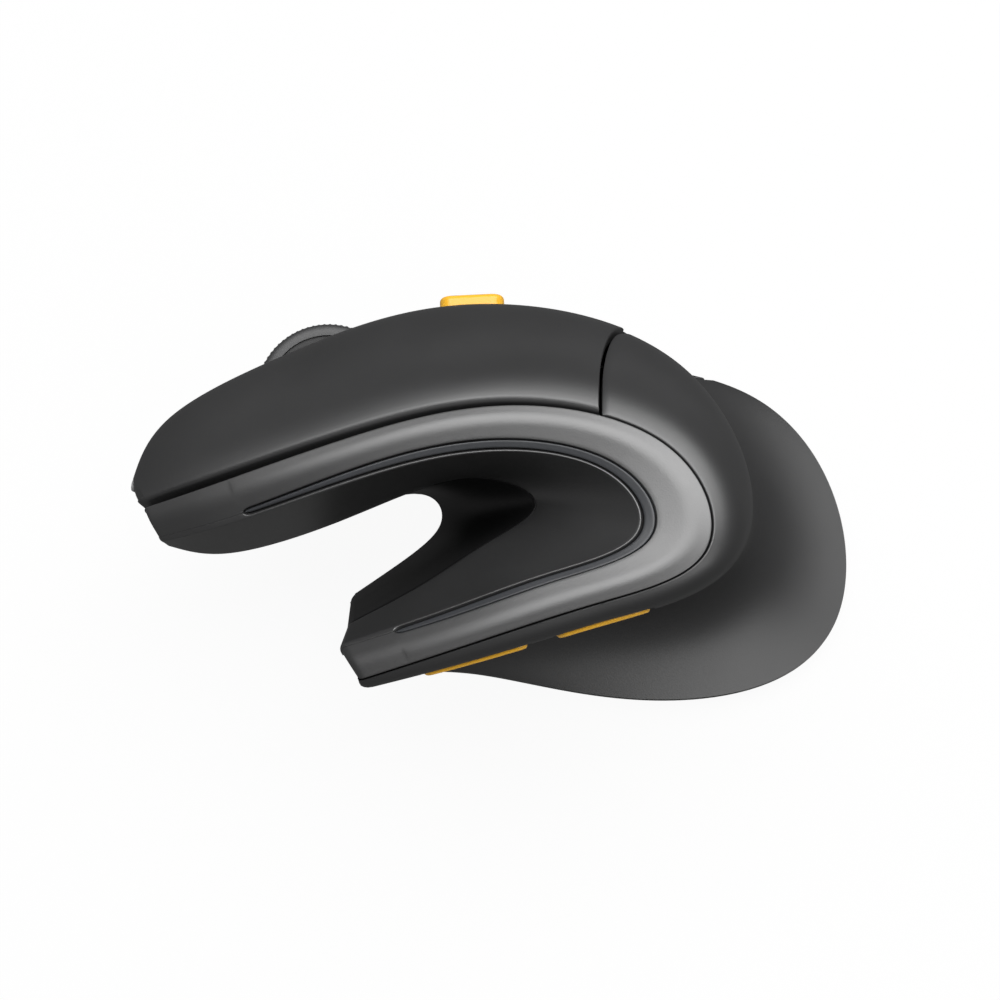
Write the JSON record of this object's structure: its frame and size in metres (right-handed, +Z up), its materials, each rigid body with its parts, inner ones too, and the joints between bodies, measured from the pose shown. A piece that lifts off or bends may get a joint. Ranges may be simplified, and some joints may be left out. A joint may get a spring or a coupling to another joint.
{
  "type": "vertical ergonomic mouse",
  "caption": "Right-handed vertical mouse: leaning horseshoe ridge with an inlay strip, open bay between its arms, palm flange, click and thumb buttons, speed button and ribbed scroll wheel.",
  "frame": {"origin": "middle of the bounding box, on the desk plane under the glide feet", "axes": "+Y from the round palm flange to the nose of the finger arm, +X to the finger side, +Z up from the desk"},
  "size_m": [0.0763, 0.1201, 0.067],
  "materials": {
    "shell": "fine grained matte",
    "band": "satin metallic grey",
    "inlay": "satin slate",
    "gloss": "piano gloss",
    "amber": "semi gloss",
    "tyre": "ribbed matte",
    "hub": "moulded",
    "steel": "brushed",
    "chassis": "moulded",
    "board": "solder mask",
    "switch": "moulded",
    "encoder": "moulded",
    "foil": "foil",
    "lens": "clear moulded",
    "glide": "waxy low friction"
  },
  "bodies": {
    "housing": {"base_plate": "shell", "palm_shell": "shell", "finger_skirt": "shell", "bay_liner": "shell", "beak_floor": "shell", "nose_cap": "shell", "thumb_cap": "shell", "ridge_cover": "band", "inlay_strip": "inlay", "centre_strip": "gloss", "case_screws": "steel", "board_screws": "steel", "thumb_screws": "steel", "usb_socket": "steel", "power_switch": "steel", "finger_chassis": "chassis", "battery_tray": "chassis", "finger_board": "board", "thumb_board": "board", "main_board": "board", "charge_board": "board", "left_switch": "switch", "right_switch": "switch", "wheel_switch": "switch", "speed_switch": "switch", "forward_switch": "switch", "back_switch": "switch", "motion_sensor": "switch", "battery_cell": "foil", "sensor_lens": "lens", "glide_feet": "glide"},
    "left_key": {"left_button": "shell"},
    "right_key": {"right_button": "shell"},
    "speed_key": {"speed_button": "amber"},
    "forward_key": {"forward_button": "amber"},
    "back_key": {"back_button": "amber"},
    "cradle": {"wheel_cradle": "chassis", "wheel_encoder": "encoder"},
    "wheel": {"wheel_tyre": "tyre", "wheel_hub": "hub", "wheel_axle": "steel"},
    "slider": {"power_slider": "encoder"}
  },
  "joints": [
    {"name": "left_click", "type": "hinge", "parent": "housing", "child": "left_key", "pos_m": [0.00134, -0.01444, 0.06341], "axis": [-0.6237, 0.395, 0.6745], "range_deg": [0, 0.5], "stiffness_Nm_per_rad": 2, "springref_deg": -0.57},
    {"name": "right_click", "type": "hinge", "parent": "housing", "child": "right_key", "pos_m": [0.01899, -0.02771, 0.03319], "axis": [-0.1502, 0.159, 0.9758], "range_deg": [0, 0.45], "stiffness_Nm_per_rad": 2, "springref_deg": -0.57},
    {"name": "speed_click", "type": "slide", "parent": "housing", "child": "speed_key", "axis": [-0.9481, 0.2581, -0.1858], "range_m": [0, 0.0004], "stiffness_N_per_m": 600, "springref_m": -0.0004},
    {"name": "forward_click", "type": "slide", "parent": "housing", "child": "forward_key", "axis": [0.9059, 0.0395, 0.4216], "range_m": [0, 0.0004], "stiffness_N_per_m": 600, "springref_m": -0.0004},
    {"name": "back_click", "type": "slide", "parent": "housing", "child": "back_key", "axis": [0.9059, 0.0395, 0.4216], "range_m": [0, 0.0004], "stiffness_N_per_m": 600, "springref_m": -0.0004},
    {"name": "wheel_click", "type": "hinge", "parent": "housing", "child": "cradle", "pos_m": [0.01289, 0.03522, 0.03029], "axis": [0.2157, -0.0421, -0.9756], "range_deg": [0, 1.2], "stiffness_Nm_per_rad": 1.2, "springref_deg": -1.15},
    {"name": "wheel_scroll", "type": "hinge", "parent": "cradle", "child": "wheel", "pos_m": [0.02601, 0.0244, 0.03366], "axis": [-0.2157, 0.0421, 0.9756], "continuous": true},
    {"name": "power_slide", "type": "slide", "parent": "housing", "child": "slider", "axis": [0, 1, 0], "range_m": [0, 0.004]}
  ]
}
